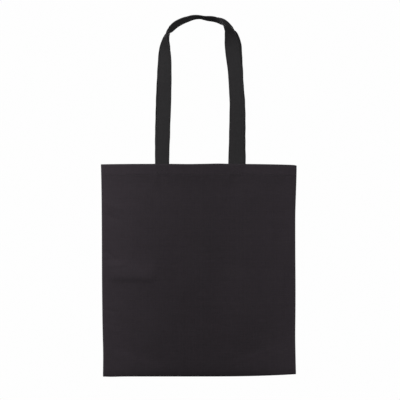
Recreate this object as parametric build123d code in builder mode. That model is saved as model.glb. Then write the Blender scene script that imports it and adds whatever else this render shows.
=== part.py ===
"""Canvas tote bag, hung by its two handles from one point.

Millimetres, +Z up, +X to the right, the front of the bag faces -Y. The origin is the
hang point, on the underside of the two straps at the top of their arch.
"""

import os
from math import atan2, cos, degrees, hypot, pi, radians, sin

from build123d import *

os.makedirs("parts", exist_ok=True)

# Bag
MOUTH_WIDTH = 380.0
BOTTOM_WIDTH = 376.0
BAG_HEIGHT = 414.0
HANDLE_DROP = 281.0  # hang point to the top of the hem
MOUTH_DEPTH = 20.0  # middle plane to the outer face of a panel at the mouth
FLAT_HALF = 88.0  # each panel is straight between these, and bows in to the side seams
CLOTH = 0.8
PLY_GAP = 0.1  # between plies sewn together
MOVE_GAP = 0.3  # between pieces that move apart
SEAM_ALLOWANCE = 10.0
HEM_HEIGHT = 23.0
HEM_ZONE = 30.0  # the straight top of each panel
FOLD_RISE = 0.9
FOLD_RADIUS = 0.7

# Straps
STRAP_WIDTH = 27.0
STRAP_THICK = 2.0
STRAP_END = 21.0  # sewn length inside the hem
STRAP_X = {"front": (-72.0, 71.0), "back": (-72.0, 77.0)}  # strap centres at the mouth
ARCH_HALF = 67.0
ARCH_RISE = 55.0
ARCH_TOP = 5.1  # middle of the strap at the top of the arch
TURN = 108.0  # how far a strap turns from facing forward to lying over the hang point
TURN_START = -140.0
TURN_END = -8.0
TURN_POWER = (2.1, 4.5)  # how late the turn comes, left and right limb
EDGE_GAP = 0.5  # each strap to the middle plane at the top of the arch
LOOP_GAP = 0.8  # sewn end to moving loop

# Thread
THREAD = 0.7
THREAD_RISE = 0.3
TACK_WIDTH = 20.0
TACK_HEIGHT = 15.0
EDGE_STITCH = 3.0  # row of stitching to the strap's edge

MOUTH_Z = -HANDLE_DROP
BOTTOM_Z = MOUTH_Z - BAG_HEIGHT
SEAM_DEPTH = CLOTH + MOVE_GAP + CLOTH  # outer face of a panel at the side seams
HEM_INNER = MOUTH_DEPTH - 2 * CLOTH - PLY_GAP  # inner face of the hem to the middle plane
STRAP_Y = HEM_INNER - PLY_GAP - STRAP_THICK / 2
APEX_Y = (STRAP_WIDTH * sin(radians(TURN)) + STRAP_THICK * abs(cos(radians(TURN)))) / 2 + EDGE_GAP
SIDES = (("front", -1), ("back", 1))


def half_width(z):
    """Half of the bag's width at a height."""
    share = min(1.0, (z - BOTTOM_Z) / (BAG_HEIGHT - HEM_ZONE))
    return (BOTTOM_WIDTH + (MOUTH_WIDTH - BOTTOM_WIDTH) * share) / 2


def depth(z):
    """Middle plane to a panel's outer face, a quarter sine from the bottom seam to the hem."""
    share = min(1.0, (z - BOTTOM_Z) / (BAG_HEIGHT - HEM_ZONE))
    least = SEAM_DEPTH + 0.4
    return least + (MOUTH_DEPTH - least) * sin(share * pi / 2)


def band(side, z, inset, thick):
    """Plan of one ply: straight in the middle, an arc to each side seam."""
    reach = half_width(z)
    with BuildSketch(Plane.XY.offset(z)) as plan:
        with BuildLine():
            for shift in (inset, inset + thick):
                middle = side * (depth(z) - shift)
                edge = side * (SEAM_DEPTH - shift)
                Line((-FLAT_HALF, middle), (FLAT_HALF, middle))
                TangentArc((FLAT_HALF, middle), (reach, edge), tangent=(1, 0))
                TangentArc((-FLAT_HALF, middle), (-reach, edge), tangent=(-1, 0))
            for x in (-reach, reach):
                Line((x, side * (SEAM_DEPTH - inset)), (x, side * (SEAM_DEPTH - inset - thick)))
        make_face()
    return plan.sketch


def strap_plane(side, x, z, run, rise, limb):
    """Section plane of a strap: local x across its width, local y through its thickness."""
    length = hypot(run, rise)
    inward = Vector(rise, 0, -run) / length
    share = max(0.0, min(1.0, (z - TURN_START) / (TURN_END - TURN_START)))
    turn = radians(TURN) * share ** TURN_POWER[limb]
    across = inward * cos(turn) + Vector(0, side * sin(turn), 0)
    lean = (z - MOUTH_Z) / (ARCH_TOP - MOUTH_Z)
    y = side * (STRAP_Y + (APEX_Y - STRAP_Y) * lean)
    return Plane((x, y, z), x_dir=across, z_dir=(run, 0, rise))


def strap_planes(name, side):
    """Sections along one loop: up the left limb, over a half ellipse, down the right limb."""
    left, right = STRAP_X[name]
    spring = ARCH_TOP - ARCH_RISE
    base = MOUTH_Z + LOOP_GAP
    limb_shares = (0.0, 0.5, 0.64, 0.78, 0.9)
    planes = []
    for share in limb_shares:
        x = left + (-ARCH_HALF - left) * share
        z = base + (spring - base) * share
        planes.append(strap_plane(side, x, z, -ARCH_HALF - left, spring - base, 0))
    for angle in range(180, -1, -15):
        swing = radians(angle)
        run, rise = ARCH_HALF * sin(swing), -ARCH_RISE * cos(swing)
        z = spring + ARCH_RISE * sin(swing)
        planes.append(strap_plane(side, ARCH_HALF * cos(swing), z, run, rise, int(angle < 90)))
    for share in reversed(limb_shares):
        x = right + (ARCH_HALF - right) * share
        z = base + (spring - base) * share
        planes.append(strap_plane(side, x, z, right - ARCH_HALF, base - spring, 1))
    return planes


# Front and back: panel, hem, strap ends, stitching and handle
for name, side in SIDES:
    with BuildPart() as panel:
        zone = MOUTH_Z - HEM_ZONE
        heights = [BOTTOM_Z + (zone - BOTTOM_Z) * share for share in (0.0, 0.12, 0.3, 0.6, 1.0)]
        loft([band(side, z, 0, CLOTH) for z in heights])
        extrude(band(side, zone, 0, CLOTH), amount=HEM_ZONE - FOLD_RISE - PLY_GAP)
    panel.part.label = f"{name}_panel"
    export_step(panel.part, f"parts/{name}_panel.step")

    with BuildPart() as hem:
        extrude(band(side, MOUTH_Z - HEM_HEIGHT, CLOTH + PLY_GAP, CLOTH), amount=HEM_HEIGHT)
        extrude(band(side, MOUTH_Z - FOLD_RISE, 0, 2 * CLOTH + PLY_GAP), amount=FOLD_RISE)
        top = hem.faces().sort_by(Axis.Z)[-1]
        fillet([edge for edge in top.edges() if edge.length > 2 * CLOTH + 1], FOLD_RADIUS)
    hem.part.label = f"{name}_hem"
    export_step(hem.part, f"parts/{name}_hem.step")

    with BuildPart() as hem_thread:
        row = MOUTH_Z - HEM_HEIGHT + 2
        extrude(band(side, row, -THREAD_RISE - 0.02, THREAD_RISE), amount=THREAD)
    hem_thread.part.label = f"{name}_hem_thread"
    export_step(hem_thread.part, f"parts/{name}_hem_thread.step")

    for hand, x in zip(("left", "right"), STRAP_X[name]):
        with BuildPart() as strap_end:
            with BuildSketch(Plane.XY.offset(MOUTH_Z - STRAP_END)):
                with Locations((x, side * STRAP_Y)):
                    Rectangle(STRAP_WIDTH, STRAP_THICK)
            extrude(amount=STRAP_END)
        strap_end.part.label = f"{name}_{hand}_strap_end"
        export_step(strap_end.part, f"parts/{name}_{hand}_strap_end.step")

        with BuildPart() as tack:
            outer = side * (MOUTH_DEPTH + 0.02)
            inner = side * (STRAP_Y - STRAP_THICK / 2 - 0.02)
            for y, facing in ((outer, side), (inner, -side)):
                face = Plane((x, y, MOUTH_Z - STRAP_END / 2), x_dir=(1, 0, 0), z_dir=(0, facing, 0))
                with BuildSketch(face):
                    Rectangle(TACK_WIDTH, TACK_HEIGHT)
                    Rectangle(TACK_WIDTH - 2 * THREAD, TACK_HEIGHT - 2 * THREAD, mode=Mode.SUBTRACT)
                    slope = degrees(atan2(TACK_HEIGHT, TACK_WIDTH))
                    for turn in (-slope, slope):
                        Rectangle(hypot(TACK_WIDTH, TACK_HEIGHT) - 3 * THREAD, THREAD, rotation=turn)
                extrude(amount=THREAD_RISE)
        tack.part.label = f"{name}_{hand}_tack"
        export_step(tack.part, f"parts/{name}_{hand}_tack.step")

    sections = strap_planes(name, side)
    with BuildPart() as handle:
        for section in sections:
            with BuildSketch(section):
                Rectangle(STRAP_WIDTH, STRAP_THICK)
        loft(ruled=True)
    handle.part.label = f"{name}_handle"
    export_step(handle.part, f"parts/{name}_handle.step")

    for row, across in (("outer", -1), ("inner", 1)):
        with BuildPart() as edge_thread:
            for section in sections:
                with BuildSketch(section):
                    rise = side * (STRAP_THICK / 2 + 0.02 + THREAD_RISE / 2)
                    with Locations((across * (STRAP_WIDTH / 2 - EDGE_STITCH), rise)):
                        Rectangle(THREAD, THREAD_RISE)
            loft(ruled=True)
        edge_thread.part.label = f"{name}_handle_{row}_thread"
        export_step(edge_thread.part, f"parts/{name}_handle_{row}_thread.step")

# Side seams: two plies between the panels, with overlock thread along the inner edge
seam_low = BOTTOM_Z + SEAM_ALLOWANCE + THREAD + 0.5
seam_high = MOUTH_Z - HEM_HEIGHT - 0.5
for hand, way in (("left", -1), ("right", 1)):
    for piece, start, end in (
        ("side_seam", 0.0, SEAM_ALLOWANCE),
        ("overlock_thread", SEAM_ALLOWANCE + 0.05, SEAM_ALLOWANCE + THREAD),
    ):
        with BuildPart() as side_strip:
            with BuildSketch(Plane.XZ):
                with BuildLine():
                    Polyline(
                        (way * (half_width(seam_low) - start), seam_low),
                        (way * (half_width(seam_high) - start), seam_high),
                        (way * (half_width(seam_high) - end), seam_high),
                        (way * (half_width(seam_low) - end), seam_low),
                        close=True,
                    )
                make_face()
            extrude(amount=CLOTH, both=True)
        side_strip.part.label = f"{hand}_{piece}"
        export_step(side_strip.part, f"parts/{hand}_{piece}.step")

# Bottom seam: its folded lower edge is round, and the panels turn about it
with BuildPart() as bottom_seam:
    with BuildSketch(Plane.XY.offset(BOTTOM_Z)):
        Rectangle(BOTTOM_WIDTH, 2 * CLOTH)
    extrude(amount=SEAM_ALLOWANCE)
    fillet(bottom_seam.edges().filter_by(Axis.X).group_by(Axis.Z)[0], CLOTH - 0.01)
bottom_seam.part.label = "bottom_seam"
export_step(bottom_seam.part, "parts/bottom_seam.step")

with BuildPart() as bottom_thread:
    with BuildSketch(Plane.XY.offset(BOTTOM_Z + SEAM_ALLOWANCE + 0.05)):
        Rectangle(BOTTOM_WIDTH, 2 * CLOTH)
    extrude(amount=THREAD - 0.05)
bottom_thread.part.label = "bottom_overlock_thread"
export_step(bottom_thread.part, "parts/bottom_overlock_thread.step")
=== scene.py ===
import bpy
import numpy as np
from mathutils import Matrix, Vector


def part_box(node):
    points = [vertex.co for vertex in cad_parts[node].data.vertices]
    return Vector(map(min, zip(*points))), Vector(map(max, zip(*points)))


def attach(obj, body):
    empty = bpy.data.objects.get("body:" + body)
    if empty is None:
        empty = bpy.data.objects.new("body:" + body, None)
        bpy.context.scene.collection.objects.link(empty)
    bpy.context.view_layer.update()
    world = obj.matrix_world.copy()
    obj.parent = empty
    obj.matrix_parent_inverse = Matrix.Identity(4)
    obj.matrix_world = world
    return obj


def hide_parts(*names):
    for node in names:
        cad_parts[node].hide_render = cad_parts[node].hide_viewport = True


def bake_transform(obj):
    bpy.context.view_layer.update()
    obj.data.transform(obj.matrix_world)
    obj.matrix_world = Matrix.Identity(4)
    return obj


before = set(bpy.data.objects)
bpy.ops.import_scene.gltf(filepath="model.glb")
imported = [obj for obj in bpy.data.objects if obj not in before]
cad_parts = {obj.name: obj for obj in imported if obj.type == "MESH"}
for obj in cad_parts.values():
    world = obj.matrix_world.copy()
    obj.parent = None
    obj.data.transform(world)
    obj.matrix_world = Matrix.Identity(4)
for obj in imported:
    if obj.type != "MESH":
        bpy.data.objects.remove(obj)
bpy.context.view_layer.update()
mm = 0.001
stitchPitch = 3.2 * mm  # from one stitch to the next, in the hems and along the straps
facing = {"front": -1.0, "back": 1.0}  # which way along y each panel and strap looks
upward = np.array([0.0, 0.0, 1.0])
rearward = np.array([0.0, 1.0, 0.0])
print("frame loaded")


# small helpers

# 0 to 1 with flat ends: t held between 0 and 1, then t squared times 3 less 2 t
def smooth(t):
    t = np.clip(t, 0.0, 1.0)
    return t * t * (3 - 2 * t)


# one soft bump around 0: e to the power of minus t squared
def bell(t):
    return np.exp(-np.square(t))


# a sum of such bumps, each with its lift, middle and width
def bumps(t, rows):
    return sum(lift * bell((t - middle) / width) for lift, middle, width in rows)


# a lift times a power of t
def swell(t, lift, power):
    return lift * t ** power


# vectors divided by their own length
def unit(v):
    leastLength = 1e-12
    return v / np.maximum(np.linalg.norm(v, axis=-1, keepdims=True), leastLength)


# vectors less their share along a direction, at length 1
def squareTo(v, direction):
    return unit(v - direction * np.sum(v * direction, -1, keepdims=True))


# how far along a line each of its points lies: its steps added up
def lengthAlong(points):
    return np.concatenate([[0], np.cumsum(np.linalg.norm(np.diff(points, axis=0), axis=-1))])


# the same round a closed line, up to its first point again
def lengthAround(ring):
    return lengthAlong(np.concatenate([ring, ring[:1]]))


# columns of values along a line, read at other distances in straight steps
def readAt(spots, length, values):
    return np.stack([np.interp(spots, length, column) for column in values.T], -1)


# angles at even steps round a circle
def turnAround(steps):
    return np.arange(steps) * 2 * np.pi / steps


# sum of sines with seeded directions, phases and lengths, about -1 to 1
def ripple(x, z, seed, length):
    waves, evenOut, fullTurn, stretchRange = 7, 1.4, 6.28, (0.7, 1.5)
    draw = np.random.default_rng(seed)
    angles = draw.uniform(0, np.pi, waves)
    phases = draw.uniform(0, fullTurn, waves)
    stretches = draw.uniform(*stretchRange, waves)
    total = np.zeros(np.broadcast(x, z).shape)
    for angle, phase, stretch in zip(angles, phases, stretches):
        rate = 2 * np.pi / (length * stretch)
        total += np.sin((x * np.cos(angle) + z * np.sin(angle)) * rate + phase)
    return total / waves ** 0.5 / evenOut


# faces of a grid of points, rows along and columns across or around, and both end faces if capped
def gridFaces(rows, cols, around=False, capped=False):
    first = np.arange(rows - 1)[:, None] * cols
    left = np.arange(cols if around else cols - 1)[None, :]
    right = (left + 1) % cols
    quads = np.stack([first + left, first + right, first + cols + right, first + cols + left], -1)
    ring = np.arange(cols)
    caps = np.stack([ring[::-1], ring + (rows - 1) * cols]) if capped else np.empty((0, cols), int)
    return quads.reshape(-1, 4), caps


# an object for a mesh, a camera or a light, put into the scene
def newObject(name, data):
    item = bpy.data.objects.new(name, data)
    bpy.context.scene.collection.objects.link(item)
    return item


# a smooth-shaded piece from points and faces
def newPiece(name, points, faces):
    mesh = bpy.data.meshes.new(name)
    mesh.from_pydata(points.reshape(-1, 3).tolist(), [], faces)
    mesh.polygons.foreach_set("use_smooth", np.ones(len(mesh.polygons), bool))
    mesh.update()
    return newObject(name, mesh)


# a piece from a grid of points, with each face corner's place on the weave
def surfacePiece(name, points, coords=None, around=False, capped=False, flip=False):
    quads, caps = gridFaces(*points.shape[:2], around, capped)
    order = -1 if flip else 1
    piece = newPiece(name, points, quads[:, ::order].tolist() + caps[:, ::order].tolist())
    if coords is not None:
        corners = coords.reshape(-1, 2)[gridFaces(*coords.shape[:2])[0]][:, ::order]
        uv = np.concatenate([corners.reshape(-1, 2), np.zeros((caps.size, 2))])
        piece.data.uv_layers.new(name="weave").data.foreach_set("uv", uv.ravel())
    return piece


# values at a piece's grid points, which its material reads by their names
def pointValues(piece, shape, **values):
    for name, value in values.items():
        layer = piece.data.attributes.new(name, "FLOAT", "POINT")
        layer.data.foreach_set("value", np.broadcast_to(value, shape).astype(np.float32).ravel())


# a piece's material, added to it
def dress(piece, material):
    piece.data.materials.append(material)
    return piece


# shader maths as plain expressions: a Flow is a socket's value, and each operator adds one Math node

class Flow:
    def __init__(self, paint, socket):
        self.paint, self.socket = paint, socket

    def maths(self, operation, *values):
        node = self.paint.add("ShaderNodeMath", {"operation": operation}, dict(enumerate(values)))
        return self.paint.out(node)

    def __add__(self, other):
        return self.maths("ADD", self, other)

    def __radd__(self, other):
        return self.maths("ADD", other, self)

    def __sub__(self, other):
        return self.maths("SUBTRACT", self, other)

    def __rsub__(self, other):
        return self.maths("SUBTRACT", other, self)

    def __mul__(self, other):
        return self.maths("MULTIPLY", self, other)

    def __rmul__(self, other):
        return self.maths("MULTIPLY", other, self)

    def __truediv__(self, other):
        return self.maths("DIVIDE", self, other)

    def __rtruediv__(self, other):
        return self.maths("DIVIDE", other, self)

    def __pow__(self, other):
        return self.maths("POWER", self, other)

    def __rpow__(self, other):
        return self.maths("POWER", other, self)

    def __gt__(self, other):
        return self.maths("GREATER_THAN", self, other)

    def __lt__(self, other):
        return self.maths("LESS_THAN", self, other)

    def __abs__(self):
        return self.maths("ABSOLUTE", self)

    def sine(self):
        return self.maths("SINE", self)

    def floor(self):
        return self.maths("FLOOR", self)


# the nodes of a material or a world
class Paint:
    def __init__(self, owner):
        owner.use_nodes = True
        self.owner, self.tree = owner, owner.node_tree
        self.tree.nodes.clear()

    # one node: its type, its settings, then the values or links of its sockets
    def add(self, kind, settings=None, sockets=None):
        node = self.tree.nodes.new(kind)
        for key, value in (settings or {}).items():
            setattr(node, key, value)
        for key, value in (sockets or {}).items():
            if isinstance(value, Flow):
                self.tree.links.new(value.socket, node.inputs[key])
            else:
                node.inputs[key].default_value = value
        return node

    def out(self, node, key=0):
        return Flow(self, node.outputs[key])

    def place(self):
        return self.out(self.add("ShaderNodeTexCoord"), "Object")

    def noise(self, vector, scale, detail=2.0, rough=0.5):
        sockets = {"Vector": vector, "Scale": scale, "Detail": detail, "Roughness": rough}
        return self.out(self.add("ShaderNodeTexNoise", {}, sockets), "Fac")

    def chance(self, number):
        node = self.add("ShaderNodeTexWhiteNoise", {"noise_dimensions": "1D"}, {"W": number})
        return self.out(node, "Value")

    def vector(self, x, y, z):
        return self.out(self.add("ShaderNodeCombineXYZ", {}, {0: x, 1: y, 2: z}))

    def pointValue(self, name):
        return self.out(self.add("ShaderNodeAttribute", {"attribute_name": name}), "Fac")

    def mix(self, share, low, high):
        node = self.add("ShaderNodeMix", {"data_type": "RGBA"}, {"Factor": share, "A": low, "B": high})
        return self.out(node, "Result")

    # the shader itself: varying colour, roughness and height, and what is the same all over
    def close(self, colour, rough, height, bump, finish):
        normal = self.out(self.add("ShaderNodeBump", {}, {"Height": height, **bump}))
        sockets = {"Base Color": colour, "Roughness": rough, "Normal": normal, **finish}
        shader = self.out(self.add("ShaderNodeBsdfPrincipled", {}, sockets))
        self.add("ShaderNodeOutputMaterial", {}, {"Surface": shader})
        return self.owner


# materials

canvasLook = {
    "pitch": 0.62 * mm,  # from one yarn to the next
    "dark": (0.0132, 0.0105, 0.0129, 1), "light": (0.0338, 0.0270, 0.0331, 1),
    "worn": (0.058, 0.056, 0.060, 1), "wornShare": 0.55,
    "uneven": 0.5, "steep": 0.9, "gentle": 0.4, "least": 0.001,  # a yarn's stray, its roundness, its thinnest
    "warpStep": 7.31, "weftStep": 5.77, "weftShift": 9.0, "dyeShift": 311.5,  # so that no two yarns are alike
    "scale": {
        "uneven": 55.0, "warpSlub": 70.0, "weftSlub": 60.0, "fibre": 7000.0, "fade": 9.0, "lint": 120.0,
        "rub": 900.0},
    "lintSize": 0.045,
    "tone": {"yarn": 0.30, "slub": 1.05, "dye": 0.16, "fibre": 0.30, "fade": 0.30, "lint": 0.3, "less": 0.70},
    "height": {"yarn": 0.7, "slub": 0.7, "fibre": 0.25, "dent": 1.2},
    "rough": 0.97, "slubGloss": 0.16,
    "bump": {"Strength": 0.6, "Distance": 0.22 * mm},
    "finish": {
        "Specular IOR Level": 0.16, "Sheen Weight": 0.06, "Sheen Roughness": 0.55,
        "Sheen Tint": (0.85, 0.83, 0.88, 1)},
}
strapLook = {
    **canvasLook, "pitch": 0.58 * mm,
    "dark": (0.0131, 0.0125, 0.0132, 1), "light": (0.0300, 0.0288, 0.0302, 1),
}


# black plain-weave canvas: warp over weft in a chequer, where the product of two sines is above 0, each yarn
# rounded by powers of those sines, with its own tone and slubs, then a slow random fade, lint, rubbed edges
# and painted light and shade
def canvasPaint(name, look):
    paint = Paint(bpy.data.materials.new(name))
    scale, tone, height = look["scale"], look["tone"], look["height"]
    uv = paint.out(paint.add("ShaderNodeUVMap", {"uv_map": "weave"}))
    split = paint.add("ShaderNodeSeparateXYZ", {}, {0: uv})
    u, v = paint.out(split, 0), paint.out(split, 1)
    place = paint.place()
    uneven = (paint.noise(place, scale["uneven"]) - 0.5) * look["uneven"]
    warp, weft = u / look["pitch"] + uneven, v / look["pitch"] + uneven
    across, along = (warp * np.pi).sine(), (weft * np.pi).sine()
    warpOver = (across * along) > 0.0
    weftOver = 1 - warpOver
    a, b = abs(across) + look["least"], abs(along) + look["least"]
    steep, gentle = look["steep"], look["gentle"]
    yarn = warpOver * a ** steep * b ** gentle + weftOver * a ** gentle * b ** steep
    warpNumber, weftNumber = warp.floor(), weft.floor()
    alongWarp = paint.vector(warpNumber * look["warpStep"], v * scale["warpSlub"], 0.0)
    alongWeft = paint.vector(u * scale["weftSlub"], weftNumber * look["weftStep"], look["weftShift"])
    warpSlub, weftSlub = [paint.noise(spot, 1.0, detail=3.0, rough=0.6) for spot in (alongWarp, alongWeft)]
    slub = warpOver * warpSlub + weftOver * weftSlub
    dye = warpOver * paint.chance(warpNumber) + weftOver * paint.chance(weftNumber + look["dyeShift"])
    fibre = paint.noise(uv, scale["fibre"])
    fade = paint.noise(place, scale["fade"], detail=3.0, rough=0.55)
    knot = paint.add("ShaderNodeTexVoronoi", {}, {"Vector": place, "Scale": scale["lint"]})
    lint = paint.out(knot, "Distance") < look["lintSize"]
    # the third point value is painted light and shade, added to the tone below
    wear, pucker, pale = [paint.pointValue(key) for key in ("wear", "pucker", "pale")]
    shade = (yarn * tone["yarn"] + slub * tone["slub"] + dye * tone["dye"] + fibre * tone["fibre"]
             + fade * tone["fade"] + lint * tone["lint"] + pale - tone["less"])
    colour = paint.mix(shade, look["dark"], look["light"])
    rub = paint.noise(place, scale["rub"], detail=1.0) * wear * look["wornShare"]
    colour = paint.mix(rub, colour, look["worn"])
    rough = look["rough"] - slub * look["slubGloss"]
    dent = (u * (2 * np.pi / stitchPitch)).sine() * pucker
    relief = yarn * height["yarn"] + slub * height["slub"] + fibre * height["fibre"] + dent * height["dent"]
    return paint.close(colour, rough, relief, look["bump"], look["finish"])


threadLook = {
    "dark": (0.010, 0.0092, 0.010, 1), "light": (0.027, 0.0255, 0.027, 1),
    "strandScale": 2600.0, "fadeScale": 60.0, "strand": 0.7, "fade": 0.3, "rough": 0.72, "gloss": 0.25,
    "bump": {"Strength": 0.4, "Distance": 0.06 * mm},
    "finish": {"Specular IOR Level": 0.25, "Sheen Weight": 0.06},
}


# spun sewing thread: fine speckle along the strand and a soft gloss
def threadPaint(name, look):
    paint = Paint(bpy.data.materials.new(name))
    place = paint.place()
    strand, fade = paint.noise(place, look["strandScale"]), paint.noise(place, look["fadeScale"])
    colour = paint.mix(strand * look["strand"] + fade * look["fade"], look["dark"], look["light"])
    return paint.close(colour, look["rough"] - strand * look["gloss"], strand, look["bump"], look["finish"])


panelPaint = canvasPaint("blackCanvas", canvasLook)
strapPaint = canvasPaint("blackStrapCanvas", strapLook)
sewingPaint = threadPaint("blackThread", threadLook)
print("materials made")


# the bag's cloth: mouth, bottom and half width are the solids' own, to a tenth of a millimetre

bag = {
    "mouthZ": round(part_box("front_hem")[1].z, 4), "bottomZ": round(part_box("bottom_seam")[0].z, 4),
    "reach": round(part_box("front_panel")[1].x, 4), "flatHalf": 0.088, "hemZone": 0.030,
    "mouthDepth": 19.6 * mm, "leastDepth": 2.6 * mm, "seamDepth": 1.5 * mm,  # middle plane to mid-cloth
    "cloth": 0.8 * mm, "meet": 0.06 * mm, "edgeRound": 2.3 * mm, "bottomRound": 16.0 * mm,
    "foldRadius": 0.6 * mm, "hemRow": 21.0 * mm,
}
halfBag = bag["reach"] / mm  # these three in mm, as the folds and the grid are
tallBag = (bag["mouthZ"] - bag["bottomZ"]) / mm
hemStitchDrop = bag["hemRow"] / mm
strapX = {"front": (-71.4 * mm, 70.4 * mm), "back": (-73.0 * mm, 78.2 * mm)}  # the sewn ends

photo = {"hang": (199.0, 20.0), "pixel": 1.95 * mm, "size": 400}  # the hang point, a pixel's size, the width


# a pixel as x and z: its way from the hang point's pixel, times the size of a pixel
def fromPhoto(pixel):
    return np.array([pixel[0] - photo["hang"][0], photo["hang"][1] - pixel[1]]) * photo["pixel"]


# across and up from the nearest point of a line between two pixels
def fromLine(start, end, x, z):
    a, b = fromPhoto(start), fromPhoto(end)
    run = b - a
    share = np.clip(((x - a[0]) * run[0] + (z - a[1]) * run[1]) / (run @ run), 0, 1)
    return x - a[0] - share * run[0], z - a[1] - share * run[1]


# lifts in mm, alone, with a power, or as bumps with a middle and width in shares of the height or in m of x
outline = {
    "left": 187.4, "leftFlare": (2.8, 1.3), "leftCorner": (0.9, 12),
    "leftBumps": [(-0.9, 0.10, 0.10), (0.5, 0.45, 0.20)],
    "right": 187.5, "rightFlare": 2.6, "flareFrom": 0.73, "rightFoot": (1.4, 10),
    "rightBumps": [(0.5, 0.40, 0.15), (-0.3, 0.18, 0.06)],
    "droop": 0.1, "droopLeft": (0.6, 4), "droopRight": (2.0, 3), "droopCorner": (1.0, 60),
    "droopBumps": [(0.4, -0.022, 0.02), (-0.6, 0.037, 0.02)],
    "rise": (4.6, 2.6), "riseBumps": [(-0.6, -0.170, 0.016)],
}


# half width at height share q: on the left powers of q, on the right a smooth step and a power of 1 less q,
# with bumps on both
def reachOf(p, q):
    left = outline["left"] + swell(q, *outline["leftFlare"]) + swell(q, *outline["leftCorner"])
    flare = smooth((q - outline["flareFrom"]) / (1 - outline["flareFrom"]))
    right = outline["right"] + outline["rightFlare"] * flare + swell(1 - q, *outline["rightFoot"])
    left, right = left + bumps(q, outline["leftBumps"]), right + bumps(q, outline["rightBumps"])
    return np.where(p < 0, left, right) * mm


# the mouth droops with powers of the way out to each corner, more to the right, and with bumps
def topEdge(x):
    across = np.abs(x) / bag["reach"]
    right = swell(across, *outline["droopRight"]) + swell(across, *outline["droopCorner"])
    droop = np.where(x < 0, swell(across, *outline["droopLeft"]), right)
    return bag["mouthZ"] - (droop + outline["droop"] + bumps(x, outline["droopBumps"])) * mm


# the bottom rises with a power of the way out to the right, and sags a little near the left corner
def bottomEdge(x):
    rise = swell(np.clip(x / bag["reach"], 0, 1), *outline["rise"])
    return bag["bottomZ"] + (rise + bumps(x, outline["riseBumps"])) * mm


# how the cloth stands out of its smooth bow, in mm, with the lengths of waves in m
folds = {
    "seed": {"front": 4, "back": 19}, "fullDepth": 7, "leastShare": 0.25,
    "held": 4, "looseSide": 24, "looseLow": 26, "heldTop": 8, "looseTop": 40, "topShare": 0.3,
    "drape": 1.3, "drapeLength": 0.19, "drapeTall": 0.6, "wave": 0.32, "waveLength": 0.052,
    "pull": 0.7, "pullRays": 7, "pullTop": 6, "pullStart": 22, "pullFade": 75,
    "sewnEnd": 0.45, "endHalf": 15, "endTall": 23, "endSoft": 3,
    "crease": 0.8, "creaseStart": 1, "creaseSoft": 6,
    "ridge": 0.45, "ridgeWide": 7.5, "ridgeSoft": 3,
    "sidePucker": 0.28, "sideStep": 1.9, "lowPucker": 0.24, "lowStep": 2.1, "puckerWide": 9,
    "stray": 2.2, "strayLength": 0.05,
    "hem": 0.3, "hemSoft": 2.2, "hemDent": 0.42, "dentWide": 1.0,
}

# creases read off the photograph, in pixels: start, end, width and lift in mm, and how far they run out above
creases = {
    "front": [
        ((114, 277), (152, 277.5), 7.5, 2.6, 3.0),
        ((103, 214), (118, 219), 4.0, -1.3), ((103, 204), (122, 209), 5.5, 1.4),
        ((103, 249), (116, 259), 3.5, -1.3), ((104, 266), (124, 264), 4.5, 1.3),
        ((103, 309), (117, 312), 3.5, -1.4), ((103, 328), (118, 331), 4.5, 1.3),
        ((118, 352), (158, 366), 5.0, 0.7), ((158, 366), (232, 364), 6.0, 0.6),
        ((232, 364), (288, 343), 5.0, 0.8), ((128, 188), (150, 206), 7.0, 0.5),
        ((190, 238), (205, 254), 5.0, -0.5), ((262, 268), (280, 270), 4.0, -0.4),
        ((271, 226), (284, 231), 5.0, -0.5),
    ],
    "back": [
        ((128, 300), (170, 304), 4.0, -0.8), ((124, 292), (168, 296), 6.0, 0.7),
        ((270, 240), (294, 236), 4.0, -0.8), ((268, 318), (295, 322), 4.5, 0.8),
        ((130, 350), (200, 368), 6.0, 0.7), ((200, 368), (282, 350), 6.0, 0.7),
        ((180, 206), (196, 236), 7.0, -0.6), ((230, 215), (238, 262), 9.0, 0.6),
    ],
}


# drape: a long ripple and a short one, where the cloth hangs loose
def drapeOf(name, x, z, loose):
    seed = folds["seed"][name]
    long = folds["drape"] * ripple(x, z * folds["drapeTall"], seed, folds["drapeLength"])
    short = folds["wave"] * ripple(x, z, seed + 1, folds["waveLength"])
    return loose * (long + short)


# below each sewn strap end: a cosine of the angle around it, fading with distance, and the end's own low step
def pullsOf(name, x, z, drop, loose):
    lift = 0.0
    for anchor in strapX[name]:
        away, down = (x - anchor) / mm, (topEdge(x) - z) / mm - folds["pullTop"]
        far, angle = np.hypot(away, down), np.arctan2(away, down)
        rays = np.cos(folds["pullRays"] * angle + folds["seed"][name]) * loose
        lift += folds["pull"] * rays * smooth(far / folds["pullStart"]) * np.exp(-far / folds["pullFade"])
        inWidth = smooth((folds["endHalf"] - np.abs(away)) / folds["endSoft"])
        lift += folds["sewnEnd"] * inWidth * smooth((folds["endTall"] - drop) / folds["endSoft"])
    return lift


# creases: a bell across each line, stretched above it where the fold runs out, and none in the seam's edge
def creasesOf(name, x, z, edge):
    lift = 0.0
    for start, end, width, height, *runOut in creases[name]:
        awayX, awayZ = fromLine(start, end, x, z)
        awayZ = np.where(awayZ > 0, awayZ / (runOut[0] if runOut else 1.0), awayZ)
        lift += height * bell(np.hypot(awayX, awayZ) / (width * mm))
    return folds["crease"] * lift * smooth((edge - folds["creaseStart"]) / folds["creaseSoft"])


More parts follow.
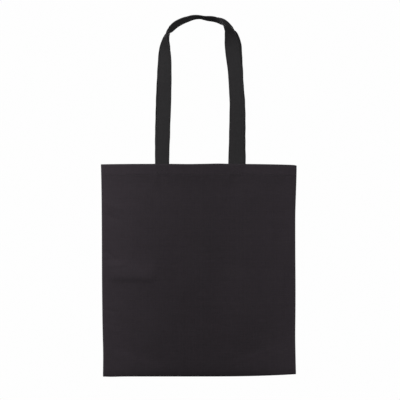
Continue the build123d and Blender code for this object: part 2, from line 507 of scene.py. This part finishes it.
# sewing: a ridge over the side seams, sines of puckers along three seams, the raised hem and its dented row
def sewingOf(name, x, z, edge, low, drop):
    seed, row = folds["seed"][name], drop - hemStitchDrop
    ridge = folds["ridge"] * (1 - smooth((edge - folds["ridgeWide"]) / folds["ridgeSoft"]))
    strayZ = folds["stray"] * ripple(x * 0, z, seed + 2, folds["strayLength"])
    strayX = folds["stray"] * ripple(x, z * 0, seed + 3, folds["strayLength"])
    alongSide = np.sin(z / (folds["sideStep"] * mm) + strayZ) * bell(edge / folds["puckerWide"])
    alongFoot = np.sin(x / (folds["lowStep"] * mm) + strayX) * bell(low / folds["puckerWide"])
    pucker = folds["sidePucker"] * alongSide + folds["lowPucker"] * alongFoot
    hem = folds["hem"] * (1 - smooth(row / folds["hemSoft"]))
    return ridge + pucker + hem - folds["hemDent"] * bell(row / folds["dentWide"])


# all of these added up, from the way in from the side, up from the bottom and down from the mouth, in mm: the
# cloth is loose past smooth steps in from the seams and, in part, down from the mouth
def foldsOf(name, x, z, edge, low, drop):
    top = folds["topShare"] + (1 - folds["topShare"]) * smooth((drop - folds["heldTop"]) / folds["looseTop"])
    side = smooth((edge - folds["held"]) / folds["looseSide"])
    loose = side * smooth((low - folds["held"]) / folds["looseLow"]) * top
    lift = drapeOf(name, x, z, loose) + pullsOf(name, x, z, drop, loose)
    return (lift + creasesOf(name, x, z, edge) + sewingOf(name, x, z, edge, low, drop)) * mm


# a point of one panel, p from side to side and q from the bottom seam to the mouth: its depth is a quarter
# sine upwards, straight across the middle and an arc to each seam, with the folds added and the edges rounded
def clothPoint(name, p, q):
    reach = reachOf(p, q)
    x = p * reach
    low, top = bottomEdge(x), topEdge(x)
    tall = top - low
    z = low + q * tall
    share = np.clip(q * tall / (tall - bag["hemZone"]), 0, 1)
    middle = bag["leastDepth"] + (bag["mouthDepth"] - bag["leastDepth"]) * np.sin(share * np.pi / 2)
    run, drop = reach - bag["flatHalf"], middle - bag["seamDepth"]
    radius = (run ** 2 + drop ** 2) / (2 * drop)
    past = np.clip(np.abs(x) - bag["flatHalf"], 0, run)
    depth = middle - (radius - np.sqrt(radius ** 2 - past ** 2))
    edge, under = (1 - np.abs(p)) * reach, q * tall
    lift = foldsOf(name, x, z, edge / mm, under / mm, (1 - q) * tall / mm)
    depth = depth + lift * np.clip(depth / (folds["fullDepth"] * mm), folds["leastShare"], 1)
    rounds = (edge, bag["edgeRound"]), (under, bag["bottomRound"])
    side, foot = [np.sqrt(1 - np.square(1 - np.clip(t / size, 0, 1))) for t, size in rounds]
    depth = bag["meet"] + (depth - bag["meet"]) * side * foot
    return np.stack([x, facing[name] * depth, z], -1)


# the way a panel runs across, from two points close by
def clothAcross(name, p, q, step=1e-3):
    return clothPoint(name, p + step, q) - clothPoint(name, p - step, q)


# outward direction of a panel: square to its slopes across and up
def clothNormal(name, p, q):
    step = 1e-4
    upStep = clothPoint(name, p, q + step) - clothPoint(name, p, q - step)
    normal = unit(np.cross(clothAcross(name, p, q, step), upStep))
    return normal * np.where(normal[..., 1:2] * facing[name] > 0, 1, -1)


# the panel's grid, in mm: close steps in from the seams, down from the mouth outside, and down the hem inside
panelGrid = {
    "seamSteps": np.array([0, 0.2, 0.55, 1.05, 1.7, 2.5, 3.6, 5.2, 7.2, 8.8, 10.5, 12.5]), "evenFrom": 15,
    "hemSteps": np.array([
        27, 25.2, 23.8, 22.7, 22, 21.5, 21, 20.5, 20, 19.3, 18, 16, 13.5, 11, 8.5, 6, 4, 2.4, 1.3, 0.6]),
    "insideSteps": np.array([1.6, 3.5, 6, 8.5, 11, 13.5, 16, 18, 20, 21.4, 22.1, 22.4]), "evenTo": 29.5,
    "columns": 146, "rows": 136, "turnSteps": 8,
    "measureRow": 40, "measureColumn": 90,  # whose lengths place the weave
    "tuckIn": (1.75, 1.4), "tuckRise": (-0.25, 0.1),  # the hem's raw edge, in fold radii and in mm
}
seamColumns, lastEven = panelGrid["seamSteps"] / halfBag, 1 - panelGrid["evenFrom"] / halfBag
evenColumns = np.linspace(-lastEven, lastEven, panelGrid["columns"])
columns = np.concatenate([-1 + seamColumns, evenColumns, (1 - seamColumns)[::-1]])
evenRows = np.linspace(panelGrid["evenFrom"] / tallBag, 1 - panelGrid["evenTo"] / tallBag, panelGrid["rows"])
outerRows = np.concatenate([panelGrid["seamSteps"] / tallBag, evenRows, 1 - panelGrid["hemSteps"] / tallBag])
turnRows = np.linspace(0, np.pi, panelGrid["turnSteps"] + 1)[1:]
innerRows = 1 - panelGrid["insideSteps"] / tallBag

# how worn the cloth is, and the light and shade painted onto it, with widths and places in mm
wearAndShading = {
    "foldWear": 0.6, "foldWide": 2.0, "sideWear": 0.7, "sideWide": 2.4,
    "sides": 0.30, "left": 0.14, "leftRate": 1.3, "upperLight": 0.12, "less": 0.15,
    "bottomShade": 0.18, "bottomShadeWide": 9, "hem": 0.05, "hemEnd": 20, "hemSoft": 2,
    "hemShadow": 0.08, "hemShadowAt": 27, "hemShadowWide": 8, "puckerWide": 2.2,
}

# painted light and shade along folds, lighter where a fold faces the light and darker in its crease; in
# pixels: start, end, width in mm and how much
foldShading = {
    "front": [
        ((113, 266), (149, 267), 15.0, 0.16), ((112, 281), (150, 281), 5.0, -0.07),
        ((118, 352), (158, 367), 8.0, 0.09), ((236, 363), (292, 346), 9.0, 0.10),
    ],
    "back": [
        ((124, 290), (168, 294), 12.0, 0.12), ((130, 352), (200, 369), 8.0, 0.08),
        ((200, 369), (282, 351), 8.0, 0.08),
    ],
}


# wear is a bell over the fold and each side edge; painted light makes the cloth paler to the sides, to the
# left and upwards, it is paler on the hem, and painted shade darkens it just below the hem, as the hem's
# shadow, and along the bottom, where the cloth turns away from the light, with a bell of painted light or
# shade across each fold line
def wearAndShadePanel(name, panel, points, p, q):
    row = np.arange(len(q))[:, None]
    inside = row >= len(outerRows)
    edge, drop, low = (1 - np.abs(p)) * halfBag, (1 - q) * tallBag, q * tallBag
    foldTop = len(outerRows) + panelGrid["turnSteps"] // 2
    fold = np.where(inside, bell(row - foldTop), bell(drop / wearAndShading["foldWide"]))
    wear = wearAndShading["foldWear"] * fold + wearAndShading["sideWear"] * bell(edge / wearAndShading["sideWide"])
    offHem = smooth((drop - wearAndShading["hemEnd"]) / wearAndShading["hemSoft"])
    # painted shadow of the hem's ridge, just below the hem
    shade = wearAndShading["hemShadow"] * bell((drop - wearAndShading["hemShadowAt"]) / wearAndShading["hemShadowWide"]) * offHem
    # painted shade along the bottom, where the cloth turns away from the light; the hem itself is paler
    shade = shade - wearAndShading["hem"] * (1 - offHem) + wearAndShading["bottomShade"] * bell(low / wearAndShading["bottomShadeWide"])
    # painted light: paler to the sides, to the left and upwards
    pale = wearAndShading["sides"] * np.square(p) + wearAndShading["left"] * smooth(-wearAndShading["leftRate"] * p) - wearAndShading["less"]
    pale = pale + wearAndShading["upperLight"] * np.where(inside, 1, q) - np.where(inside, 0, shade)
    # painted light and shade along the folds
    for start, end, width, much in foldShading[name]:
        far = np.hypot(*fromLine(start, end, points[..., 0], points[..., 2]))
        pale = pale + much * bell(far / (width * mm))
    pucker = bell((drop - hemStitchDrop) / wearAndShading["puckerWide"])
    pointValues(panel, p.shape, wear=np.clip(wear, 0, 1), pale=pale, pucker=pucker)


# one panel with its hem as one sheet of cloth: up the outside, over the fold in a half circle, down the
# inside and tucked in
def makePanel(name):
    r, flat, hem = bag["foldRadius"], outerRows * 0, innerRows * 0
    tuckIn, tuckRise = np.multiply(panelGrid["tuckIn"], r), np.multiply(panelGrid["tuckRise"], mm)
    turnShares, tuckShares = turnRows * 0 + outerRows[-1], tuckIn * 0 + innerRows[-1]
    rowShares = np.concatenate([outerRows, turnShares, innerRows, tuckShares])
    inset = np.concatenate([flat, r * (1 - np.cos(turnRows)), hem + 2 * r, tuckIn])
    rise = np.concatenate([flat, r * np.sin(turnRows), hem, tuckRise])
    p, q = np.meshgrid(columns, rowShares)
    slope = clothAcross(name, p, q)
    level = -facing[name] * unit(np.stack([slope[..., 1], -slope[..., 0], 0 * p], -1))  # out of the bag
    points = clothPoint(name, p, q) - level * inset[:, None, None] + upward * rise[:, None, None]
    lengths = lengthAlong(points[panelGrid["measureRow"]]), lengthAlong(points[:, panelGrid["measureColumn"]])
    coords = np.stack(np.meshgrid(*lengths), -1)
    panel = surfacePiece(f"{name}_panel_cloth", points, coords, flip=name == "back")
    wearAndShadePanel(name, panel, points, p, q)
    wall = panel.modifiers.new("clothThickness", "SOLIDIFY")
    wall.thickness, wall.offset = bag["cloth"], 0.0
    return dress(panel, panelPaint)


# the panel bows out in the middle and stays sewn at both sides; its transform is baked into its points, and a
# weight that runs in from each side seam is worked out but not used
def followPanel(piece):
    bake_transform(piece)
    places = np.empty(len(piece.data.vertices) * 3, np.float32)
    piece.data.vertices.foreach_get("co", places)
    weight = smooth((bag["reach"] - np.abs(places[::3])) / (bag["reach"] - bag["flatHalf"]))


panels = {name: makePanel(name) for name in facing}
for name, panel in panels.items():
    followPanel(panel)
    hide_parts(f"{name}_panel", f"{name}_hem")
print("panels made")


# straps: the section first, then where it lies and how it waves along its length

strap = {
    "half": 13.5 * mm, "thick": 1.0 * mm, "edge": 0.9 * mm,  # half width, half thickness, rounded edge
    "groove": 0.42, "grooveWide": 0.22, "least": 0.93, "crown": 0.1,
    "row": 10.5 * mm, "dent": 0.2 * mm, "dentWide": 0.8 * mm,
    "nearRow": np.array([-1.6, -1.0, -0.6, -0.25, 0, 0.25, 0.6, 1.0, 1.6]) * mm,
    "flatHalf": 7.8 * mm, "flatSteps": 13, "edgeSteps": 13, "stations": 330, "fineSteps": 4000,
    "sewn": 21, "sewnY": 17.2 * mm, "archY": 13.75 * mm, "archZ": 5 * mm,  # sewn: length in mm inside the hem
    "besideZ": -35 * mm, "besideOver": 20 * mm, "besideGap": 0.15 * mm,  # edge to edge over the arch
    "lap": {"front": 0.0, "back": 3.0 * mm}, "lapFrom": (16 * mm, 20 * mm), "lapTo": (34 * mm, 14 * mm),
    "sway": 0.5 * mm, "swaySeed": 31, "swayLength": 0.08, "swayEnd": -0.09, "swayOver": 0.05,
    "waver": 0.3 * mm, "waverSeed": {"front": 77, "back": 78}, "waverLength": 0.03,
    "wave": 0.35 * mm, "waveSeed": {"front": 81, "back": 82}, "waveLength": 0.045, "waveFrom": 0.06,
    "waveAcross": 9 * mm, "bendLow": 1 * mm, "bendHigh": 11 * mm,
    "wearFrom": 12.2 * mm, "wearOver": 1.2 * mm, "pucker": 0.6, "puckerWide": 1.6 * mm,
    "shoulderShade": 0.10, "shoulderShadeFrom": -0.085, "shoulderShadeOver": 0.05,  # painted shade: darker towards the top, over the arch
}

# x and z in mm and turn in degrees above the mouth, up the left limb, over the arch and down the right limb
strapRoute = {
    "front": [
        (-69.5, -218, 0), (-67.3, -156, 2), (-66.3, -110, 12), (-66.0, -78, 26), (-66.0, -62, 38),
        (-67.0, -51, 52), (-67.3, -44, 63), (-66.9, -38.5, 71), (-65.3, -31.5, 80), (-63.8, -27.2, 87),
        (-61.0, -23.4, 96), (-56.1, -20.0, 109), (-51.6, -15.6, 112), (-44.9, -9.8, 113), (-37.0, -5.2, 112),
        (-29.2, -1.7, 110), (-21.5, 0.9, 107), (-13.6, 3.6, 104), (-5.8, 4.6, 102), (2.0, 4.5, 99),
        (9.8, 2.9, 100), (17.5, 1.9, 104), (25.3, 1.2, 106), (33.2, -0.5, 106), (39.6, -3.3, 104),
        (44.6, -7.4, 97), (48.6, -11.5, 83), (52.6, -16.2, 67), (56.8, -21.6, 53), (60.0, -28.0, 42),
        (62.0, -37, 26), (63.0, -48, 11), (64.3, -62, 3), (67.0, -82, 0), (70.0, -108, 0),
        (72.4, -150, 0), (72.8, -187, 0), (71.9, -222, 0),
    ],
    "back": [
        (-72.7, -218, 0), (-70.9, -156, 2), (-69.2, -110, 11), (-67.9, -78, 25), (-66.4, -51, 43),
        (-64.4, -37, 64), (-62.0, -29.0, 75), (-59.7, -22.6, 79), (-53.0, -16.2, 95), (-44.9, -9.8, 106),
        (-37.0, -5.2, 110), (-29.2, -1.7, 109), (-21.5, 0.9, 107), (-13.6, 3.4, 104), (-5.8, 4.6, 101),
        (2.0, 4.6, 99), (9.8, 4.0, 100), (17.5, 3.5, 103), (25.3, 3.2, 105), (33.2, 2.8, 107),
        (41.0, 1.1, 109), (46.8, -1.2, 113), (51.5, -4.3, 113), (58.2, -9.6, 110), (65.6, -16.0, 100),
        (70.8, -24.0, 81), (71.8, -33.0, 60), (71.4, -42, 40), (71.0, -55, 18), (71.4, -78, 4),
        (72.4, -94, 0), (74.2, -125, 0), (76.8, -156, 0), (77.9, -190, 0), (77.7, -240, 0),
    ],
}


# a smooth line through a few rows of numbers, with even steps: cubic pieces whose slopes come from neighbours
def smoothLine(rows, count):
    rows = np.array(rows, float)
    reach = lengthAlong(rows[:, :2])
    slope = np.gradient(rows, reach, axis=0)
    s = np.linspace(0, reach[-1], strap["fineSteps"])
    k = np.clip(np.searchsorted(reach, s, side="right") - 1, 0, len(reach) - 2)
    gap = (reach[k + 1] - reach[k])[:, None]
    t = (s - reach[k])[:, None] / gap
    fine = ((1 + 2 * t) * (1 - t) ** 2 * rows[k] + t * (1 - t) ** 2 * gap * slope[k]
            + t * t * (3 - 2 * t) * rows[k + 1] + t * t * (t - 1) * gap * slope[k + 1])
    length = lengthAlong(fine[:, :2])
    even = np.linspace(0, length[-1], count)
    return readAt(even, length, fine), even * mm


# the sewn ends run straight down from the mouth on both sides of the route
def wholeRoute(name):
    left, right = np.divide(strapX[name], mm)
    top = bag["mouthZ"] / mm
    low = top - strap["sewn"]
    return [(left, low, 0), (left, top, 0), *strapRoute[name], (right, top, 0), (right, low, 0)]


# centre line, direction, width direction, outward face direction and length at each station of a strap: its y
# leans from the hem to the arch with a sway between, and over the arch the straps lie edge to edge or lap
def strapLine(name):
    line, length = smoothLine(wholeRoute(name), strap["stations"])
    x, z, turn = line[:, 0] * mm, line[:, 1] * mm, np.radians(line[:, 2])
    climb = z - bag["mouthZ"]
    lean = np.clip(climb / (strap["archZ"] - bag["mouthZ"]), 0, 1)
    sway = strap["sway"] * ripple(z, z * 0, strap["swaySeed"], strap["swayLength"])
    sway = sway * smooth(climb / strap["swayOver"]) * (1 - smooth((z - strap["swayEnd"]) / strap["swayOver"]))
    lapOn, lapOff = [smooth((x - start) / over) for start, over in (strap["lapFrom"], strap["lapTo"])]
    beside = strap["half"] * np.sin(turn) + strap["thick"] * np.abs(np.cos(turn)) + strap["besideGap"]
    beside = beside - strap["lap"][name] * lapOn * (1 - lapOff)
    y = strap["sewnY"] + (strap["archY"] - strap["sewnY"]) * lean + sway
    y = facing[name] * (y + (beside - y) * smooth((z - strap["besideZ"]) / strap["besideOver"]))
    centre = np.stack([x, y, z], -1)
    along = unit(np.gradient(centre, axis=0))
    inward = unit(np.stack([along[:, 2], 0 * y, -along[:, 0]], -1))
    wide = inward * np.cos(turn)[:, None] + facing[name] * rearward * np.sin(turn)[:, None]
    wide = squareTo(wide, along)
    return centre, along, wide, facing[name] * np.cross(along, wide), length


# half of the strap's section, a out from its middle: a slight crown and a dent along each stitched row
def strapRise(a):
    dents = sum(bell((a - row) / strap["dentWide"]) for row in (strap["row"], -strap["row"]))
    crown = strap["least"] + strap["crown"] * (1 - np.square(a / strap["half"]))
    return strap["thick"] * crown - strap["dent"] * dents


# a light wave in and out along a strap: a ripple, faded out at both sewn ends
def strapWave(name, length):
    wave = strap["wave"] * ripple(length, length * 0, strap["waveSeed"][name], strap["waveLength"])
    return wave * smooth(length / strap["waveFrom"]) * smooth((length[-1] - length) / strap["waveFrom"])


# the folded strap, a section carried along its line: flat faces, half-round edges, and a groove in one edge
# where its folds meet
def makeStrap(name):
    centre, _, wide, out, length = strapLine(name)
    flat, row = strap["half"] - strap["edge"], strap["row"]
    middle = np.linspace(-strap["flatHalf"], strap["flatHalf"], strap["flatSteps"])
    face = np.concatenate([[-flat], strap["nearRow"] - row, middle, strap["nearRow"] + row, [flat]])
    swing = np.linspace(np.pi / 2, -np.pi / 2, strap["edgeSteps"])[1:-1]
    bulge, rise = strap["edge"] * np.cos(swing), strapRise(flat) * np.sin(swing)
    groove = 1 - strap["groove"] * bell(swing / strap["grooveWide"])
    top = np.stack([face, strapRise(face)], -1)
    plainEdge, foldedEdge = np.stack([flat + bulge, rise], -1), np.stack([-flat - bulge * groove, -rise], -1)
    ring = np.concatenate([top, plainEdge, top[::-1] * (1, -1), foldedEdge])
    a, b = ring[None, :, :1], ring[None, :, 1:]
    waver = strap["waver"] * ripple(length, length * 0, strap["waverSeed"][name], strap["waverLength"])
    spread = 1 + (waver / strap["half"])[:, None, None]
    wave = strapWave(name, length)[:, None, None] * np.cos(a / strap["waveAcross"])
    points = centre[:, None] + wide[:, None] * (a * spread) + out[:, None] * (b + wave)
    coords = np.stack(np.meshgrid(lengthAround(ring), length), -1)
    band = surfacePiece(f"{name}_strap", points, coords, around=True, capped=True, flip=name == "back")
    fromMiddle = np.abs(ring[:, 0])
    wear = smooth((fromMiddle - strap["wearFrom"]) / strap["wearOver"])
    pucker = strap["pucker"] * bell((fromMiddle - row) / strap["puckerWide"])
    # painted shade: the straps darker towards the top, over the arch
    shoulderShade = strap["shoulderShade"] * smooth((points[..., 2] - strap["shoulderShadeFrom"]) / strap["shoulderShadeOver"])
    pointValues(band, points.shape[:2], wear=wear, pucker=pucker, pale=-shoulderShade)
    return dress(band, strapPaint)


# the strap is sewn to the panel up to the hem's top; its transform is baked into its points
def followStrap(piece):
    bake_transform(piece)


straps = {name: makeStrap(name) for name in facing}
for name, band in straps.items():
    followStrap(band)
    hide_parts(f"{name}_handle", f"{name}_left_strap_end", f"{name}_right_strap_end")
print("straps made")


# stitches: short bent tubes, whose rings are given as shares of their length and radius

stitch = {
    "length": 2.7 * mm, "radius": 0.24 * mm, "proud": 0.05 * mm, "sides": 6,
    "ringAt": np.array([-0.5, -0.42, -0.15, 0.15, 0.42, 0.5]),
    "ringSize": np.array([0.35, 0.8, 1.0, 1.0, 0.8, 0.35]),
    "ringLift": np.array([-0.9, -0.1, 0.55, 0.55, -0.1, -0.9]),
    "hemHalf": 184.0 * mm, "hemReach": 188.0 * mm,  # half of the hem's row, and of the width it is a share of
    "rowStart": 24.5 * mm, "rowEnd": 24 * mm,
}
tack = {
    "half": (10.0 * mm, 7.5 * mm), "drop": 10.5 * mm,
    "length": 2.4 * mm, "pitch": 2.5 * mm, "proud": 0.02 * mm,
    "lines": [(0, 1), (1, 2), (2, 3), (3, 0), (0, 2), (3, 1)],  # from corner to corner
}


# every stitch of a row in one mesh: circles along each one, larger and higher towards its middle
def stitchPiece(name, centres, along, up, length=stitch["length"]):
    rings, turn = len(stitch["ringAt"]), turnAround(stitch["sides"])
    size, lift = [stitch[key][:, None] * stitch["radius"] for key in ("ringSize", "ringLift")]
    ahead = along[:, None, None] * (stitch["ringAt"] * length)[None, :, None, None]
    aside = np.cross(along, up)[:, None, None] * (size * np.cos(turn))[None, :, :, None]
    above = up[:, None, None] * (lift + size * np.sin(turn))[None, :, :, None]
    points = centres[:, None, None] + ahead + aside + above
    base = np.arange(len(centres))[:, None, None] * len(turn) * rings
    faces = []
    for one in gridFaces(rings, len(turn), around=True, capped=True):
        faces += (one[:, ::-1] + base).reshape(-1, one.shape[1]).tolist()
    return dress(newPiece(name, points, faces), sewingPaint)


# rows of stitches put together: their centres, directions and faces, each end to end
def joined(*rows):
    return [np.concatenate(parts) for parts in zip(*rows)]


# one row of stitches along the hem, at even steps, outside on the cloth and inside on the hem
def hemStitches(name):
    count = round(2 * stitch["hemHalf"] / stitchPitch) + 1
    p = np.linspace(-stitch["hemHalf"], stitch["hemHalf"], count) / stitch["hemReach"]
    q = np.full(count, 1 - hemStitchDrop / tallBag)
    middle, normal, along = clothPoint(name, p, q), clothNormal(name, p, q), unit(clothAcross(name, p, q))
    level = bag["cloth"] / 2 + stitch["proud"]
    outside = (middle + normal * level, along, normal)
    inside = (middle - normal * (2 * bag["foldRadius"] + level), along, -normal)
    return stitchPiece(f"{name}_hem_stitches", *joined(outside, inside))


# box and cross over a sewn strap end, outside on the cloth and inside on the strap: even steps on each line
def tackStitches(name, hand):
    w, h = tack["half"]
    corners = np.array([(-w, -h), (w, -h), (w, h), (-w, h)])
    lines = []
    for start, end in tack["lines"]:
        run = corners[end] - corners[start]
        count = int(np.linalg.norm(run) / tack["pitch"])
        spots = corners[start] + run * (np.arange(count) + 0.5)[:, None] / count
        lines.append((spots, np.broadcast_to(unit(run), (count, 2))))
    spots, heads = joined(*lines)
    x, z = strapX[name][hand == "right"] + spots[:, 0], bag["mouthZ"] - tack["drop"] + spots[:, 1]
    q = (z - bottomEdge(x)) / (topEdge(x) - bottomEdge(x))
    p = x / reachOf(x, q)
    normal = clothNormal(name, p, q)
    along = np.stack([heads[:, 0], 0 * x, heads[:, 1]], -1)
    level = bag["cloth"] / 2 + stitch["proud"]
    outside = (clothPoint(name, p, q) + normal * level, squareTo(along, normal), normal)
    y = facing[name] * (strap["sewnY"] - strap["thick"] - tack["proud"])
    inward = np.broadcast_to(-facing[name] * rearward, normal.shape)
    inside = (np.stack([x, 0 * x + y, z], -1), along, inward)
    return stitchPiece(f"{name}_{hand}_tack_stitches", *joined(outside, inside), tack["length"])


# a row along one edge of a strap, at even steps on both faces: way is -1 for the outer edge, 1 for the inner
def strapStitches(name, row, way):
    *parts, length = strapLine(name)
    spots = np.arange(stitch["rowStart"], length[-1] - stitch["rowEnd"], stitchPitch)
    centre, along, wide, out = [readAt(spots, length, part) for part in parts]
    along, wide, out = unit(along), unit(wide), unit(out)
    wave = strapWave(name, length) * np.cos(strap["row"] / strap["waveAcross"])
    base = centre + wide * way * strap["row"] + out * np.interp(spots, length, wave)[:, None]
    level = strapRise(strap["row"]) + stitch["proud"]
    faces = (base + out * level, along, out), (base - out * level, along, -out)
    return stitchPiece(f"{name}_strap_{row}_stitches", *joined(*faces))


for name in facing:
    hemPiece = hemStitches(name)
    followPanel(hemPiece)
    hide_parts(f"{name}_hem_thread")
    for hand in ("left", "right"):
        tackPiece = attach(tackStitches(name, hand), f"bag_{name}")
        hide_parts(f"{name}_{hand}_tack")
    for row, way in (("outer", -1), ("inner", 1)):
        edgePiece = strapStitches(name, row, way)
        followStrap(edgePiece)
        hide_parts(f"{name}_handle_{row}_thread")
print("stitches made")


# seam allowances inside the bag: two plies with a thread wound over their raw edge

seam = {
    "thick": 0.74 * mm, "start": 0.9 * mm, "end": 9.6 * mm, "stations": 170, "steps": 9,
    "rawBulge": 0.4 * mm, "groove": 0.8, "grooveWide": 0.35,
    "sewnBulge": 0.2 * mm, "sewnSteps": (-0.6, 0, 0.6), "wearFrom": 8.6 * mm, "wearOver": 1 * mm,
    "bottomHalf": 184.5 * mm, "lowEnd": 13, "topEnd": 23.2,  # side seams: in mm from the bottom and the mouth
}
winding = {
    "pitch": 3.0 * mm, "radius": 0.17 * mm, "steps": 14, "sides": 6, "stations": 60,
    "middle": 7.6 * mm, "reach": 2.55 * mm, "rise": 0.9 * mm, "reachPower": 0.7, "risePower": 0.55,
    "aslant": {"left": (0.93, 0.2, 0.3), "right": (0.93, 0.2, 0.3), "bottom": (0.3, 0.2, 0.93)},
}


# the seam's line and the direction into the bag, for left, right or bottom
def seamLine(where, count):
    if where == "bottom":
        into = upward
        x = np.linspace(-seam["bottomHalf"], seam["bottomHalf"], count)
        z = bottomEdge(x)
    else:
        way = -1.0 if where == "left" else 1.0
        into = np.array([-way, 0.0, 0.0])
        q = np.linspace(seam["lowEnd"] / tallBag, 1 - seam["topEnd"] / tallBag, count)
        x = way * reachOf(way, q)
        z = bottomEdge(x) + q * (topEdge(x) - bottomEdge(x))
    return np.stack([x, 0 * x, z], -1), into


# both plies as one strip along the seam: flat faces, a rounded raw edge with a groove, and a blunt sewn edge
def makeSeam(where):
    line, into = seamLine(where, seam["stations"])
    thick = seam["thick"]
    a = np.linspace(seam["start"], seam["end"], seam["steps"])
    swing = np.linspace(np.pi / 2, -np.pi / 2, seam["steps"])[1:-1]
    bulge = seam["rawBulge"] * np.cos(swing) * (1 - seam["groove"] * bell(swing / seam["grooveWide"]))
    sewnRise = np.multiply(seam["sewnSteps"], thick)
    raw = np.stack([seam["end"] + bulge, thick * np.sin(swing)], -1)
    sewn = np.stack([0 * sewnRise + seam["start"] - seam["sewnBulge"], sewnRise], -1)
    near, far = [np.stack([a, 0 * a + level], -1) for level in (thick, -thick)]
    ring = np.concatenate([near, raw, far[::-1], sewn])
    points = line[:, None] + into * ring[None, :, :1] + rearward * ring[None, :, 1:]
    coords = np.stack(np.meshgrid(lengthAround(ring), lengthAlong(line)), -1)
    strip = surfacePiece(
        f"{where}_seam_allowance", points, coords, around=True, capped=True, flip=where == "left")
    wear = smooth((ring[:, 0] - seam["wearFrom"]) / seam["wearOver"])
    pointValues(strip, points.shape[:2], wear=wear, pucker=0.0)
    return dress(strip, panelPaint)


# overlock thread: a helix round the raw edge, flattened by powers of its cosine and sine, as a thin tube
def makeOverlock(where):
    line, into = seamLine(where, winding["stations"])
    length = lengthAlong(line)
    turns = int(length[-1] / winding["pitch"])
    phase = np.linspace(0, 2 * np.pi * turns, turns * winding["steps"] + 1)
    middle = readAt(phase / (2 * np.pi * turns) * length[-1], length, line)
    c, s = np.cos(phase)[:, None], np.sin(phase)[:, None]
    reach = winding["middle"] + winding["reach"] * np.sign(c) * np.abs(c) ** winding["reachPower"]
    rise = winding["rise"] * np.sign(s) * np.abs(s) ** winding["risePower"]
    path = middle + into * reach + rearward * rise
    along = unit(np.gradient(path, axis=0))
    first = unit(np.cross(along, winding["aslant"][where]))
    second = np.cross(along, first)
    turn = turnAround(winding["sides"])[None, :, None]
    around = first[:, None] * np.cos(turn) + second[:, None] * np.sin(turn)
    points = path[:, None] + winding["radius"] * around
    thread = surfacePiece(f"{where}_overlock_stitches", points, around=True, capped=True)
    return dress(thread, sewingPaint)


for where in ("left", "right", "bottom"):
    strip, thread = makeSeam(where), makeOverlock(where)
    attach(strip, "seams")
    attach(thread, "seams")
    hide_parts("bottom_seam" if where == "bottom" else f"{where}_side_seam")
    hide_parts(f"{where}_overlock_thread")
print("seams made")


# stage: camera, light and floor

view = {"lens": 200.0, "sensor": 36.0, "plane": -1 * mm}  # plane: the y where the photograph's scale holds
middle = fromPhoto((photo["size"] / 2, photo["size"] / 2))
away = photo["size"] * photo["pixel"] * view["lens"] / view["sensor"]
camera = bpy.data.cameras.new("camera")
camera.lens, camera.sensor_width = view["lens"], view["sensor"]
cameraPiece = newObject("camera", camera)
cameraPiece.location = (middle[0], view["plane"] - away, middle[1])
cameraPiece.rotation_euler = (np.pi / 2, 0, 0)
bpy.context.scene.camera = cameraPiece

# soft round lights: place, what they point at, size and power
lights = {
    "keyLight": ((-1.4, -1.2, 0.5), (0, 0, -0.35), 1.0, 33.5),
    "fillLight": ((1.2, -1.9, 0.0), (0, 0, -0.35), 1.2, 32.5),
    "backLight": ((0.35, 2.2, 0.1), (0, 0, -0.35), 1.2, 34),
    "farBackLight": ((-0.5, 2.4, 0.0), (0, 0, -0.4), 1.0, 26),
}
for name, (place, target, size, power) in lights.items():
    light = bpy.data.lights.new(name, "AREA")
    light.shape, light.size, light.energy = "DISK", size, power
    lamp = newObject(name, light)
    lamp.location = place
    lamp.rotation_euler = (Vector(target) - Vector(place)).to_track_quat("-Z", "Y").to_euler()

# a backdrop that looks white and gives almost no light
backdrop = {"colour": (1, 1, 1, 1), "lit": 0.008, "seen": 0.99}
studio = Paint(bpy.data.worlds.new("studio"))
seen = studio.out(studio.add("ShaderNodeLightPath"), "Is Camera Ray")
levels = {"Value": seen, "To Min": backdrop["lit"], "To Max": backdrop["seen"]}
strength = studio.out(studio.add("ShaderNodeMapRange", {}, levels), "Result")
shine = studio.add("ShaderNodeBackground", {}, {"Color": backdrop["colour"], "Strength": strength})
studio.add("ShaderNodeOutputWorld", {}, {"Surface": studio.out(shine)})
bpy.context.scene.world = studio.owner
bpy.context.scene.view_settings.view_transform = "Standard"

floor = {
    "z": -2.2, "radius": 13.0, "sides": 128, "dark": (0.80, 0.80, 0.80, 1), "light": (0.84, 0.84, 0.84, 1),
    "grain": 6.0, "rough": 0.7, "roughGrain": 0.1, "bump": {"Strength": 0.02},
    "finish": {"Emission Color": (1, 1, 1, 1), "Emission Strength": 0.84},
}
turn = turnAround(floor["sides"])
rim = np.stack([np.cos(turn) * floor["radius"], np.sin(turn) * floor["radius"], turn * 0 + floor["z"]], -1)
floorPiece = newPiece("floor", rim, [list(range(floor["sides"]))])
floorPiece.data.shade_flat()
floorPaint = Paint(bpy.data.materials.new("paleFloor"))
grain = floorPaint.noise(floorPaint.place(), floor["grain"], detail=3.0)
colour = floorPaint.mix(grain, floor["dark"], floor["light"])
rough = floor["rough"] + grain * floor["roughGrain"]
floorPiece.data.materials.append(floorPaint.close(colour, rough, grain, floor["bump"], floor["finish"]))
floorPiece.visible_diffuse = floorPiece.visible_glossy = False  # no glare from below
print("stage set")
